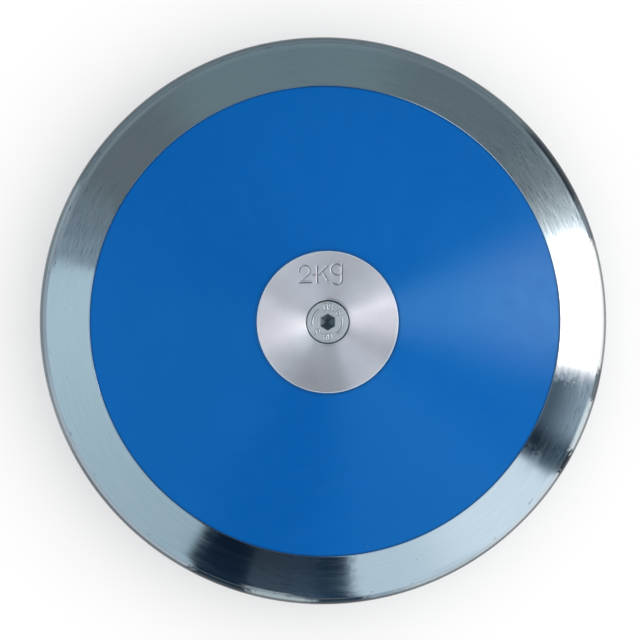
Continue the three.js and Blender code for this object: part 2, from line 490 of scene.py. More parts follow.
def rod(outline, thickness, place, spin=0.0, sides_level=ROD_SIDES_LEVEL, flatten=1.0):
    stroke = draw("stroke", outline)
    bpy.ops.object.mode_set(mode="OBJECT")
    bpy.ops.object.convert(target="CURVE")
    stroke.data.bevel_depth = thickness / 2
    stroke.data.bevel_resolution = sides_level
    stroke.data.use_fill_caps = True
    bpy.ops.object.convert(target="MESH")
    stroke = bpy.context.object
    stroke.scale.y = flatten
    stroke.rotation_euler = (-pi / 2, 0, spin)
    stroke.location = place
    bpy.ops.object.transform_apply(location=True, rotation=True, scale=True)
    bpy.ops.object.mode_set(mode="EDIT")
    bpy.ops.mesh.select_all(action="SELECT")
    bpy.ops.mesh.remove_doubles(threshold=WELD)
    bpy.ops.mesh.normals_make_consistent(inside=False)
    bpy.ops.object.mode_set(mode="OBJECT")
    return stroke


# %% [markdown]
# The mark on the centre plate only says how heavy the implement is: a plain figure and the unit.
# They are struck by hand with capital punches, so all three characters are about as tall as each other.
# A punch leaves a wide shallow V, so the rod has four sides and is flattened to the slope of its walls.
# No two blows are alike: the slopes run from 12 to 30 degrees, a foot here and there is struck deeper,
# and two faint strokes are where a punch slipped. The outlines are written on a grid on which the mark
# is one high, then enlarged. A stroke's rim stays sharp, or it would bend the shading of the face.

# %% Draw the strokes of the mass mark
DIAMOND = 0
ARC_STEPS = 22
BOWL = 0.3
UPRIGHT = 1.01
G_MIDDLE = 2.09
G_HEIGHT = 0.78
G_TAIL = 0.24


def enlarged(outline, size):
    return [(across * size, up * size, *arc) for across, up, *arc in outline]


# Each stroke has the slope of its walls in degrees, and its outline on the grid.
strokes = {
    "slip by the foot": (12, [(0.05, 0.13), (0.70, 0.15)]),
    "deeper foot": (20, [(0.0, 0.01), (0.70, 0.05)]),
    "figure": (15, [(0.02, 1 - 1.35 * BOWL), (BOWL, 1 - BOWL, -235, ARC_STEPS), (-0.03, 0.0), (0.74, 0.04)]),
    "slip by the upright": (15, [(UPRIGHT - 0.27, 0.46), (UPRIGHT + 0.18, 0.51)]),
    "deeper upright": (30, [(UPRIGHT + 0.02, 0.02), (UPRIGHT + 0.04, 0.09)]),
    "deeper leg": (24, [(UPRIGHT + 0.56, 0.16), (UPRIGHT + 0.62, 0.12)]),
    "upright": (23, [(UPRIGHT, 0.03), (UPRIGHT, 1.0)]),
    "arm": (17, [(UPRIGHT, 0.42), (UPRIGHT + 0.6, 1.02)]),
    "leg": (15, [(UPRIGHT + 0.28, 0.68), (UPRIGHT + 0.62, 0.12)]),
    "bowl": (17, [(G_MIDDLE + BOWL, G_HEIGHT), (G_MIDDLE, G_HEIGHT, 360, 2 * ARC_STEPS)]),
    "tail": (19, [(G_MIDDLE + BOWL, 1.12), (G_MIDDLE + BOWL, G_TAIL), (G_MIDDLE, G_TAIL, -135, ARC_STEPS)]),
}
print(f"The mark has {len(strokes)} strokes")

# %% Engrave the mass mark
MARK_HEIGHT = 6.8 * MM
MARK_PLACE = Vector((-10.9 * MM, 14.6 * MM, half_thickness))
GROOVE_WIDTH = 1.2 * MM
GROOVE_LIFT = Vector((0, 0, 0.02 * MM))

for slope, outline in strokes.values():
    flatness = tan(radians(slope))
    place = MARK_PLACE + GROOVE_LIFT
    tool = rod(enlarged(outline, MARK_HEIGHT), GROOVE_WIDTH, place, sides_level=DIAMOND, flatten=flatness)
    combine(upper_hub, tool, "DIFFERENCE")
bpy.ops.object.shade_smooth_by_angle(angle=SHARP_ANGLE)

bpy.ops.object.mode_set(mode="EDIT")
bpy.ops.mesh.select_mode(type="EDGE")
marked = bmesh.from_edit_mesh(upper_hub.data)
face_low = half_thickness - WELD
mark_inside = sink_radius + MM
mark_outside = recess_radius - MM
for side in marked.edges:
    halfway = (side.verts[0].co + side.verts[1].co) / 2
    on_face = min(corner.co.z for corner in side.verts) > face_low
    side.select_set(on_face and mark_inside < halfway.to_2d().length < mark_outside)
bmesh.update_edit_mesh(upper_hub.data)
bpy.ops.mesh.mark_sharp()
bpy.ops.object.mode_set(mode="OBJECT")
print(f"{upper_hub.name}: {len(upper_hub.data.polygons)} faces once the mark is cut")

# %% [markdown]
# Socket screws carry small raised marks round the socket. Here they are the plain figures of the
# strength grade, twice, with a broad arc between them on each side. They came to rest a little
# clockwise of the mark, as a screw does wherever it is tight.

# %% Draw the figures of the grade
FIGURE_STEPS = 14
LOWER_LOOP = 0.27
UPPER_LOOP = 0.5 - LOWER_LOOP
WAIST = 2 * LOWER_LOOP - 0.5
STOP_HALF = 0.08
STOP_HEIGHT = -0.45

figure_eight = [
    [(0, WAIST), (0, WAIST - LOWER_LOOP, 360, FIGURE_STEPS)],
    [(0, WAIST), (0, WAIST + UPPER_LOOP, 360, FIGURE_STEPS)],
]
figure_naught = [[
    (LOWER_LOOP, -UPPER_LOOP),
    (LOWER_LOOP, UPPER_LOOP),
    (0, UPPER_LOOP, 180, FIGURE_STEPS // 2),
    (-LOWER_LOOP, -UPPER_LOOP),
    (0, -UPPER_LOOP, 180, FIGURE_STEPS // 2),
]]
full_stop = [[(-STOP_HALF, STOP_HEIGHT), (STOP_HALF, STOP_HEIGHT)]]
grade = [figure_naught, figure_eight, full_stop, figure_eight]
print(f"The grade is written with {len(grade)} signs")

# %% Raise the figures on the screw's head
FIGURE_HEIGHT = 2.4 * MM
FIGURE_RING = 5.7 * MM
RIDGE_WIDTH = 0.6 * MM
RIDGE_SINK = 0.12 * MM
ARC_WIDTH = 1.4 * MM
ARC_SINK = 0.52 * MM
ARC_HALF = radians(34)
FIGURE_PITCH = radians(19)
SCREW_TURN = radians(-20)

for side in (SCREW_TURN, SCREW_TURN + pi):
    for index, figure in enumerate(grade):
        angle = side + FIGURE_PITCH * ((len(grade) - 1) / 2 - index)
        place = Vector((-FIGURE_RING * sin(angle), FIGURE_RING * cos(angle), screw_top - RIDGE_SINK))
        for outline in figure:
            ridge = rod(enlarged(outline, FIGURE_HEIGHT), RIDGE_WIDTH, place, angle)
            combine(upper_screw, ridge, "UNION")
    arc_start = pi / 2 - side - ARC_HALF
    start = (FIGURE_RING * sin(arc_start), FIGURE_RING * cos(arc_start))
    arc = [start, (0, 0, -degrees(2 * ARC_HALF), FIGURE_STEPS)]
    combine(upper_screw, rod(arc, ARC_WIDTH, Vector((0, 0, screw_top - ARC_SINK))), "UNION")
bpy.ops.object.shade_smooth_by_angle(angle=SHARP_ANGLE)
print(f"{upper_screw.name}: {len(upper_screw.data.polygons)} faces with its marks")
lower_screw = turned_over(upper_screw, "centre_screw_lower_body")

# %% [markdown]
# The finishes come next. All of them read Object coordinates, which are metres from the disc's centre,
# so a pattern has the same real size on every piece and stays put whatever the view.
# A few small helpers keep the node building short.

# %% Build materials from nodes
TO_DEGREES = 180 / pi


def add(tree, kind, inputs=(), **settings):
    made = tree.nodes.new(kind)
    for name, value in settings.items():
        setattr(made, name, value)
    for name, value in dict(inputs).items():
        if isinstance(value, bpy.types.NodeSocket):
            tree.links.new(value, made.inputs[name])
        else:
            made.inputs[name].default_value = value
    return made


def calculate(tree, operation, *values):
    return add(tree, "ShaderNodeMath", enumerate(values), operation=operation).outputs[0]


def on_vectors(tree, operation, *values):
    return add(tree, "ShaderNodeVectorMath", enumerate(values), operation=operation).outputs


def times(tree, first, second):
    return calculate(tree, "MULTIPLY", first, second)


def plus(tree, first, second):
    return calculate(tree, "ADD", first, second)


def larger(tree, first, second):
    return calculate(tree, "MAXIMUM", first, second)


def ramp(tree, value, low, high, start=0.0, end=1.0):
    inputs = {"Value": value, "From Min": low, "From Max": high, "To Min": start, "To Max": end}
    return add(tree, "ShaderNodeMapRange", inputs, interpolation_type="SMOOTHSTEP").outputs["Result"]


def blend(tree, share, first, second):
    made = add(tree, "ShaderNodeMix", {"Factor": share}, data_type="RGBA")
    for socket, value in (("A_Color", first), ("B_Color", second)):
        target = next(put for put in made.inputs if put.identifier == socket)
        if isinstance(value, bpy.types.NodeSocket):
            tree.links.new(value, target)
        else:
            target.default_value = (*value, 1.0)
    return next(out for out in made.outputs if out.identifier == "Result_Color")


def lay(tree, under, share, coat):
    """Lays a coat, which has a colour and the strength of its full share, on what is under it."""
    colour, strength = coat
    return blend(tree, times(tree, share, strength), under, colour)


def clouds(tree, place, scale, detail, *limits):
    """Noise with `scale` clouds in a metre, spread by a ramp where its limits are given."""
    inputs = {"Vector": place, "Scale": scale, "Detail": detail}
    noise = add(tree, "ShaderNodeTexNoise", inputs).outputs["Fac"]
    return ramp(tree, noise, *limits) if limits else noise


def feed(tree, shader, **links):
    for socket, value in links.items():
        tree.links.new(value, shader.inputs[socket.replace("_", " ")])


def bump(tree, shader, height, distance):
    made = add(tree, "ShaderNodeBump", {"Height": height, "Distance": distance, "Strength": 1.0})
    feed(tree, shader, Normal=made.outputs["Normal"])


def new_material(name, **settings):
    made = bpy.data.materials.new(name)
    made.use_nodes = True
    shader = made.node_tree.nodes["Principled BSDF"]
    for socket, value in settings.items():
        shader.inputs[socket.replace("_", " ")].default_value = value
    return made, made.node_tree, shader


# %% [markdown]
# Lathe work leaves its grain running round the axis. A position is split into its direction from the
# axis, its radius and its height. Noise that changes slowly with direction and fast with radius
# and height then gives streaks that follow the turning on a flat face and on the round edge alike.

# %% Coordinates and grain that go round the axis
Where = namedtuple("Where", "place outward radius height")


def place_on_disc(tree):
    place = add(tree, "ShaderNodeTexCoord").outputs["Object"]
    flat = on_vectors(tree, "MULTIPLY", place, (1, 1, 0))[0]
    radius = on_vectors(tree, "LENGTH", flat)["Value"]
    outward = on_vectors(tree, "NORMALIZE", flat)[0]
    height = add(tree, "ShaderNodeSeparateXYZ", {0: place}).outputs["Z"]
    return Where(place, outward, radius, height)


def grain(tree, where, along, across, detail=3.0, rough=0.55):
    """Streaks: `along` waves in a radian round the axis, `across` waves in a millimetre."""
    inputs = {0: where.outward, "Scale": along}
    slow = add(tree, "ShaderNodeVectorMath", inputs, operation="SCALE").outputs[0]
    parts = add(tree, "ShaderNodeSeparateXYZ", {0: slow}).outputs
    fast = times(tree, where.radius, across / MM)
    mixed = add(tree, "ShaderNodeCombineXYZ", {"X": parts["X"], "Y": parts["Y"], "Z": fast}).outputs[0]
    deep = times(tree, where.height, across / MM)
    inputs = {"Vector": mixed, "W": deep, "Scale": 1.0, "Detail": detail, "Roughness": rough}
    return add(tree, "ShaderNodeTexNoise", inputs, noise_dimensions="4D").outputs["Fac"]


# %% [markdown]
# Painted reflections and shade aren't the same all the way round, and nor are scuffs, so a finish has to
# know in which direction a point lies.
# The bearing is counted from a little past the top, where no patch starts or ends. Noise shifts it by
# up to a degree or so, which makes the ends of a patch ragged. Specks come from a cell pattern, in which
# only some of the cells get one.

# %% Bearings, sectors and spots
FIRST_BEARING = 100.0
FULL_TURN = 360.0
RAGGED = (620.0, 3.0, 0.25, 0.75)
SPOT_CORE = 0.4


def bearing_on_disc(tree, where, raggedness):
    """Degrees counter-clockwise from +X, from 100 to 460, with a ragged error of some degrees."""
    parts = add(tree, "ShaderNodeSeparateXYZ", {0: where.outward}).outputs
    turn = times(tree, calculate(tree, "ARCTAN2", parts["Y"], parts["X"]), TO_DEGREES)
    ragged = clouds(tree, where.place, *RAGGED, -raggedness, raggedness)
    turn = calculate(tree, "SUBTRACT", plus(tree, turn, ragged), FIRST_BEARING)
    return plus(tree, calculate(tree, "FLOORED_MODULO", turn, FULL_TURN), FIRST_BEARING)


def sector(tree, turn, start, end, soft_start, soft_end):
    begins = ramp(tree, turn, start - soft_start, start + soft_start)
    stops = ramp(tree, turn, end + soft_end, end - soft_end)
    return times(tree, begins, stops)


def spots(tree, place, pitch, size, share, seed):
    """Scattered round spots of `size`, in a `share` of the cells of a grid of `pitch`."""
    moved = on_vectors(tree, "ADD", place, (seed, seed, seed))[0]
    cells = add(tree, "ShaderNodeTexVoronoi", {"Vector": moved, "Scale": 1 / pitch}, feature="F1")
    near = ramp(tree, cells.outputs["Distance"], size / pitch, SPOT_CORE * size / pitch)
    lucky = add(tree, "ShaderNodeSeparateXYZ", {0: cells.outputs["Color"]}).outputs["X"]
    return times(tree, near, calculate(tree, "LESS_THAN", lucky, share))


# %% [markdown]
# The round edge gets painted reflections and painted shade: patch by patch, the outermost band is duller
# or darker, in places nearly black, and bright where the white panel is mirrored. One noise could scatter
# such patches, but nobody could say where they come. So each row gives where a patch starts and ends in
# degrees, its colour, and how softly it starts and ends. The other lists say where the band is wider, in
# millimetres, where its outer end gets a painted shadow, where fine scuff lines run round the face, and
# where a painted shade darkens the face by the side plate, with its strength.

# %% Patches round the rim
# Painted reflections and shade: the band's dark tone and its patches stand where the studio's cloths and
# flags are mirrored.
EDGE_SHADE_TONE = (0.128, 0.180, 0.212)
EDGE_REFLECTION_PATCHES = [
    (151, 245, (0.26, 0.33, 0.385), 2.5, 1.5),
    (190, 242, (0.36, 0.43, 0.49), 8.0, 1.5),
    (241.5, 254, (0.010, 0.026, 0.044), 1.2, 1.2),
    (254, 267, (0.38, 0.45, 0.49), 1.5, 1.5),
    (268.2, 278.3, (0.016, 0.038, 0.062), 1.2, 1.2),
    (278.5, 329, (0.26, 0.34, 0.41), 1.5, 1.0),
    (286, 329, (0.44, 0.52, 0.57), 4.0, 1.0),
    (306, 329, (0.60, 0.68, 0.73), 8.0, 1.0),
    (327.0, 332.2, (0.014, 0.028, 0.044), 0.8, 0.8),
    (332.2, 344, (0.62, 0.70, 0.74), 0.8, 1.0),
    (343.5, 350, (0.13, 0.17, 0.20), 1.0, 1.0),
    (350, 377, (0.84, 0.87, 0.88), 1.5, 2.5),
    (377, 387, (0.16, 0.20, 0.24), 2.0, 3.0),
    (385, 403, (0.032, 0.045, 0.056), 2.5, 4.0),
]
WIDER_PAINTED_BAND = [(254, 267, 1.5, 1.5, 0.8), (332.2, 343.5, 0.8, 1.0, 1.0), (382, 403, 3.0, 4.0, 0.35)]
EDGE_SHADOW_SECTOR = (208, 379, 8, 4)
SCUFFED = [(378, 405, 2, 8), (148, 168, 5, 1.5), (254, 269, 1.2, 1.2), (328, 347, 1.5, 1)]
PLATE_SIDE_SHADE_SECTORS = [(328.3, 346.5, 1.8, 1.5, 1.0), (243, 276, 1.5, 1.5, 0.6)]
plate_side_shade_ends = (opening_radius + 17 * MM, opening_radius + 1 * MM)


def painted_edge_reflections(tree, turn):
    tone = EDGE_SHADE_TONE
    for start, end, colour, soft_start, soft_end in EDGE_REFLECTION_PATCHES:
        tone = blend(tree, sector(tree, turn, start, end, soft_start, soft_end), tone, colour)
    return tone


def painted_band_start(tree, turn, radius):
    """The radius, moved outwards where the band of painted reflections is wider than elsewhere."""
    for *limits, wider in WIDER_PAINTED_BAND:
        radius = plus(tree, radius, times(tree, sector(tree, turn, *limits), wider * MM))
    return radius


def scuffs(tree, turn):
    share = 0.0
    for limits in SCUFFED:
        share = larger(tree, share, sector(tree, turn, *limits))
    return share


# Painted shade: the face is darkened by the side plate in two sectors, each with its strength.
def plate_side_shade(tree, turn, radius):
    """The painted shade is darkest by the side plate and fades out towards the edge."""
    share = 0.0
    for *limits, strength in PLATE_SIDE_SHADE_SECTORS:
        share = larger(tree, share, times(tree, sector(tree, turn, *limits), strength))
    return times(tree, share, ramp(tree, radius, *plate_side_shade_ends))


# %% [markdown]
# The rim is polished steel under a thin bright plating. Its fine grain goes round, so a reflection
# keeps a crisp edge round the rim and smears across it. That is what anisotropy does, with the
# direction out from the axis as its tangent. Small pits lie all over the plating, and knocks gather on
# the round edge. Scuffs are streaks of the same grain, light and dark ones, only where they are wanted.

# %% Mark the rim
PITS = (4.2 * MM, 0.38 * MM, 0.22, 0.31)
PIT_STRENGTH = 0.45
KNOCK_GRAIN = (26.0, 1.1, 2.0)
KNOCK_RANGE = (0.66, 0.72)
knock_ends = (tangent_radius + 0.4 * MM, disc_radius - 3.4 * MM)
LIGHT_GRAIN = (15.0, 2.4, 4.0, 0.7)
LIGHT_RANGE = (0.50, 0.68)
DARK_GRAIN = (19.0, 3.4, 3.0, 0.6)
DARK_RANGE = (0.44, 0.37)
SCUFF_RAGGEDNESS = 0.8


def rim_marks(tree, where):
    pits = times(tree, spots(tree, where.place, *PITS), PIT_STRENGTH)
    knocks = ramp(tree, grain(tree, where, *KNOCK_GRAIN), *KNOCK_RANGE)
    knocks = times(tree, knocks, ramp(tree, where.radius, *knock_ends))
    return larger(tree, pits, knocks)


def scuff_lines(tree, where):
    scuffed = scuffs(tree, bearing_on_disc(tree, where, SCUFF_RAGGEDNESS))
    light = ramp(tree, grain(tree, where, *LIGHT_GRAIN), *LIGHT_RANGE)
    dark = ramp(tree, grain(tree, where, *DARK_GRAIN), *DARK_RANGE)
    return times(tree, light, scuffed), times(tree, dark, scuffed)


# %% [markdown]
# The colour is laid on in layers: plating with its clouds and streaks, scuffs, a painted shade by the
# side plate, a painted blue reflection next to it, and the painted reflections and shade of the band over
# them all. Near its outer end the band gets a painted shadow, more so round the lower half.

# %% Colour the rim
PLATING = ((0.635, 0.70, 0.735), (0.665, 0.725, 0.755))
PLATING_CLOUDS = (28.0, 3.0, 0.35, 0.68)
STREAKED = (0.69, 0.745, 0.775)
STREAK_RANGE = (0.38, 0.66)
LIGHT_SCUFF = ((0.93, 0.97, 0.98), 0.36)
DARK_SCUFF = ((0.28, 0.32, 0.35), 0.65)
PLATE_SIDE_SHADE = (0.18, 0.225, 0.27)
BLUE_REFLECTION = (0.34, 0.49, 0.66)
BLUE_REFLECTION_STRENGTH = 0.74
EDGE_SHADOW = (0.024, 0.034, 0.044)
EDGE_SHADOW_STRENGTHS = (0.56, 0.82)
blue_reflection_ends = (opening_radius + 0.65 * MM, opening_radius + 0.15 * MM)
edge_shadow_ends = (disc_radius - 1.9 * MM, disc_radius - 0.9 * MM)
painted_band_ends = (disc_radius - 3.1 * MM, disc_radius - 2.4 * MM)


def plating_colour(tree, where, turn, fine, light, dark):
    plating = blend(tree, clouds(tree, where.place, *PLATING_CLOUDS), *PLATING)
    plating = blend(tree, ramp(tree, fine, *STREAK_RANGE), plating, STREAKED)
    plating = lay(tree, plating, light, LIGHT_SCUFF)
    plating = lay(tree, plating, dark, DARK_SCUFF)
    plating = blend(tree, plate_side_shade(tree, turn, where.radius), plating, PLATE_SIDE_SHADE)
    # Painted reflection: next to the blue plate, the rim is tinted with the plate's blue.
    blue_reflection_share = ramp(tree, where.radius, *blue_reflection_ends, 0.0, BLUE_REFLECTION_STRENGTH)
    return blend(tree, blue_reflection_share, plating, BLUE_REFLECTION)


def painted_edge_colour(tree, where, turn):
    # Painted shadow: the outermost ring of the edge is darkened, more so round the lower half.
    edge_shadow = ramp(tree, sector(tree, turn, *EDGE_SHADOW_SECTOR), 0.0, 1.0, *EDGE_SHADOW_STRENGTHS)
    edge_shadow = times(tree, ramp(tree, where.radius, *edge_shadow_ends), edge_shadow)
    return blend(tree, edge_shadow, painted_edge_reflections(tree, turn), EDGE_SHADOW)


# %% Finish the rim
FINE_GRAIN = (9.0, 2.6)
BROAD_GRAIN = (3.0, 0.35, 2.0)
GRAIN_RANGE = (0.3, 0.7)
FINE_ROUGHNESS = (0.055, 0.095)
BROAD_RANGE = (0.35, 0.7)
BROAD_ROUGHNESS = (0.0, 0.03)
MARK_ROUGHNESS = 0.4
WORN_ROUGHNESS = 0.12
SCUFF_ROUGHNESS = 0.06
WEAR_RAGGEDNESS = 1.1
PITTED = (0.07, 0.085, 0.10)
PIT_DEPTH = 20.0
RIM_RELIEF = 0.0011 * MM


def rim_finish():
    made, tree, shader = new_material("plated_steel", Metallic=1.0, Anisotropic=0.6)
    where = place_on_disc(tree)
    turn = bearing_on_disc(tree, where, WEAR_RAGGEDNESS)
    fine = grain(tree, where, *FINE_GRAIN)
    broad = grain(tree, where, *BROAD_GRAIN)
    marks = rim_marks(tree, where)
    light, dark = scuff_lines(tree, where)
    plating = plating_colour(tree, where, turn, fine, light, dark)
    # The outer band is laid over with painted reflections and painted shade.
    painted_band_share = ramp(tree, painted_band_start(tree, turn, where.radius), *painted_band_ends)
    layered = blend(tree, painted_band_share, plating, painted_edge_colour(tree, where, turn))
    rough = ramp(tree, fine, *GRAIN_RANGE, *FINE_ROUGHNESS)
    rough = plus(tree, rough, ramp(tree, broad, *BROAD_RANGE, *BROAD_ROUGHNESS))
    for share, extra in ((marks, MARK_ROUGHNESS), (painted_band_share, WORN_ROUGHNESS), (light, SCUFF_ROUGHNESS)):
        rough = plus(tree, rough, times(tree, share, extra))
    colour = blend(tree, marks, layered, PITTED)
    feed(tree, shader, Base_Color=colour, Roughness=rough, Tangent=where.outward)
    bump(tree, shader, calculate(tree, "SUBTRACT", fine, times(tree, marks, PIT_DEPTH)), RIM_RELIEF)
    return made


plated_steel = rim_finish()
print("Finish ready:", plated_steel.name)

# %% [markdown]
# The side plates are glossy moulded plastic, coloured right through. Such a plate is never quite one
# colour: the melt leaves faint clouds, a painted violet sheen lies over the side where the white panel is
# mirrored, and painted shade darkens the seams.
# The skin has a slight ripple, hairline scratches and a few specks. Its gloss takes no red, which keeps
# what it mirrors as blue as the plate.

# %% Finish the side plates
BLUES = ((0.0, 0.1015, 0.424), (0.0008, 0.1085, 0.450))
MELT_CLOUDS = (22.0, 3.0, 0.32, 0.7)
FLOWN_BLUE = (0.001, 0.107, 0.445)
FLOW_GRAIN = (2.0, 0.08, 2.0)
FLOW_RANGE = (0.4, 0.75, 0.0, 0.3)
PAINTED_SHEEN = (0.27, 0.15, 0.45)
PAINTED_SHEEN_SECTOR = (349, 382, 10, 8)
PAINTED_SHEEN_STRENGTH = (45 * MM, 80 * MM, 0.04, 0.10)
SOFT_RAGGEDNESS = 0.5
DARK_SPECKS = (9 * MM, 0.45 * MM, 0.3, 0.13)
DARK_SPECK = ((0.002, 0.045, 0.17), 0.7)
PALE_SPECKS = (11 * MM, 0.3 * MM, 0.25, 0.59)
PALE_SPECK = ((0.20, 0.36, 0.62), 0.45)
SEAM_SHADE = (0.002, 0.022, 0.09)
outer_seam_shade = (plate_radius - 0.95 * MM, plate_radius, 0.0, 0.5)
inner_seam_shade = (recess_radius + 1.7 * MM, recess_radius + 0.1 * MM, 0.0, 0.4)
SCRATCHES = (150.0, 4.0, 0.3, 0.75, 0.20, 0.26)
RIPPLES = (420.0, 1.0)
SKIN_RELIEF = 0.004 * MM


def plate_finish():
    made, tree, shader = new_material(
        "blue_plastic",
        Metallic=0.0,
        IOR=1.45,
        Specular_IOR_Level=0.58,
        Specular_Tint=(0.26, 0.95, 1.0, 1.0),
    )
    where = place_on_disc(tree)
    body = blend(tree, clouds(tree, where.place, *MELT_CLOUDS), *BLUES)
    flow = ramp(tree, grain(tree, where, *FLOW_GRAIN), *FLOW_RANGE)
    body = blend(tree, flow, body, FLOWN_BLUE)
    # Painted reflection: a violet sheen on the side where the white panel is mirrored, stronger outwards.
    painted_sheen = sector(tree, bearing_on_disc(tree, where, SOFT_RAGGEDNESS), *PAINTED_SHEEN_SECTOR)
    painted_sheen = times(tree, painted_sheen, ramp(tree, where.radius, *PAINTED_SHEEN_STRENGTH))
    body = blend(tree, painted_sheen, body, PAINTED_SHEEN)
    body = lay(tree, body, spots(tree, where.place, *DARK_SPECKS), DARK_SPECK)
    body = lay(tree, body, spots(tree, where.place, *PALE_SPECKS), PALE_SPECK)
    # Painted shade darkens the plate along its seams with the rim and with the centre plate.
    seam_shade = larger(tree, ramp(tree, where.radius, *outer_seam_shade), ramp(tree, where.radius, *inner_seam_shade))
    body = blend(tree, seam_shade, body, SEAM_SHADE)
    feed(tree, shader, Base_Color=body, Roughness=clouds(tree, where.place, *SCRATCHES))
    bump(tree, shader, clouds(tree, where.place, *RIPPLES), SKIN_RELIEF)
    return made


blue_plastic = plate_finish()
print("Finish ready:", blue_plastic.name)

# %% [markdown]
# The centre plates, screws, core and washers are all turned, so one function finishes them.
# A faced plate has a fine spiral for its grain. Seen face on, it shows bright lobes where the grain
# turns the light out sideways. Anisotropy with the outward direction as tangent makes them.
# A few nicks and a soft cloudiness keep each face from looking new. The painted shade, highlights and
# reflections that a piece gets differ, so they come from a function of the piece's own.

# %% Finish a turned piece
TURNED_ALONG = 5.0
FACE_CLOUDS = (90.0, 4.0, 0.3, 0.7)
NICKS = (5 * MM, 0.3 * MM, 0.16, 0.43)
NICKED = ((0.16, 0.16, 0.18), 0.5)
NICK_DEPTH = 4.0
TURNED_RELIEF = 0.004 * MM
POLISH_SPREAD = 0.1


def turned_finish(name, colours, polish, grain_width, anisotropy, painted_light=None):
    """Painted light takes the clean colour, and gives the shader's sockets with what feeds them."""
    made, tree, shader = new_material(name, Metallic=1.0, Anisotropic=anisotropy)
    where = place_on_disc(tree)
    fine = grain(tree, where, TURNED_ALONG, grain_width)
    nicks = spots(tree, where.place, *NICKS)
    face = blend(tree, clouds(tree, where.place, *FACE_CLOUDS), *colours)
    face = lay(tree, face, nicks, NICKED)
    layered = painted_light(tree, where, face) if painted_light else {"Base_Color": face}
    rough = ramp(tree, fine, *GRAIN_RANGE, polish, polish + POLISH_SPREAD)
    feed(tree, shader, Roughness=rough, Tangent=where.outward, **layered)
    bump(tree, shader, calculate(tree, "SUBTRACT", fine, times(tree, nicks, NICK_DEPTH)), TURNED_RELIEF)
    return made


# %% [markdown]
# Painted shade, with some soil, darkens the holes deep down: the socket, and the gap round the screw's head.
# Both need to know how far below the face a point lies, on whichever side it is.

# %% Painted shade and soil in the holes
SHADE_AND_SOIL_DEPTHS = (0.22 * MM, 0.6 * MM)
SHADE_AND_SOIL_SOFTNESS = 0.3 * MM


def depth_below_face(tree, where):
    return calculate(tree, "SUBTRACT", half_thickness, calculate(tree, "ABSOLUTE", where.height))


def shade_and_soil_in_hole(tree, where, mouth, face, shade_and_soil):
    sunk = ramp(tree, depth_below_face(tree, where), *SHADE_AND_SOIL_DEPTHS)
    inside = ramp(tree, where.radius, mouth, mouth - SHADE_AND_SOIL_SOFTNESS)
    return blend(tree, times(tree, sunk, inside), face, shade_and_soil)


# %% [markdown]
# The centre plate's face isn't even. A painted grey shade lies in some sectors, with a strength
# near the screw and one near the edge. On one side of the screw the face is lighter, and on
# the other a painted shadow lies beside the hole. In the struck mark, the grooves get painted shade:
# a wall that leans one way gets little of it, and one that leans the other way is dark.
# The rounded edge gets a painted reflection of the blue plate beside it, so it is bluish and less of a
# metal.

# %% Painted shade and reflection on the centre plates
HUB_SHADE_SECTORS = [
    (233, 289, 10, 9, 0.23, 0.38),
    (172, 233, 9, 6, 0.0, 0.22),
    (180, 197, 7, 8, 0.0, 0.08),
    (326, 374, 8, 6, 0.10, 0.20),
]
HUB_SHADE_ENDS = (10 * MM, 25 * MM)
HUB_SHADE = (0.25, 0.25, 0.27)
LIGHTER_SECTOR = (160, 262, 10, 12)
LIGHTER_ENDS = (18 * MM, 9.5 * MM)
LIGHTER_PATCH = ((0.95, 0.95, 0.97), 0.8)
SCREW_SHADOW_SECTOR = (388, 452, 10, 6)
screw_shadow_ends = (sink_radius + 1.3 * MM, sink_radius + 0.2 * MM, 0.0, 0.45)
LIT_SIDE = (0.86, 0.5, 0.0)
WALL_SHADE_RANGE = (0.03, -0.14, 0.14, 0.88)
GROOVE_SHADE_DEPTHS = (0.055 * MM, 0.11 * MM)
GROOVE_SHADE = (0.12, 0.12, 0.14)
GAP_SHADE_AND_SOIL = (0.27, 0.31, 0.345)
hub_edge_reflection_ends = (hub_radius - 0.5 * MM, hub_radius - 0.35 * MM)
HUB_EDGE_REFLECTION = (0.70, 0.83, 0.98)
HUB_EDGE_METALLIC = 0.45


# Painted shade in sectors of the face, and a painted shadow beside the screw's countersink.
def hub_painted_shade(tree, where, turn):
    shade_share = 0.0
    for *limits, near_screw, near_edge in HUB_SHADE_SECTORS:
        strength = ramp(tree, where.radius, *HUB_SHADE_ENDS, near_screw, near_edge)
        shade_share = plus(tree, shade_share, times(tree, sector(tree, turn, *limits), strength))
    screw_shadow = ramp(tree, where.radius, *screw_shadow_ends)
    return larger(tree, shade_share, times(tree, screw_shadow, sector(tree, turn, *SCREW_SHADOW_SECTOR)))


# Painted shade in the grooves of the mark: a wall that leans away from the lit side is darkened most.
def shaded_groove_walls(tree, where):
    normal = add(tree, "ShaderNodeNewGeometry").outputs["Normal"]
    lean = on_vectors(tree, "DOT_PRODUCT", normal, LIT_SIDE)["Value"]
    wall_shade = ramp(tree, lean, *WALL_SHADE_RANGE)
    return times(tree, ramp(tree, depth_below_face(tree, where), *GROOVE_SHADE_DEPTHS), wall_shade)


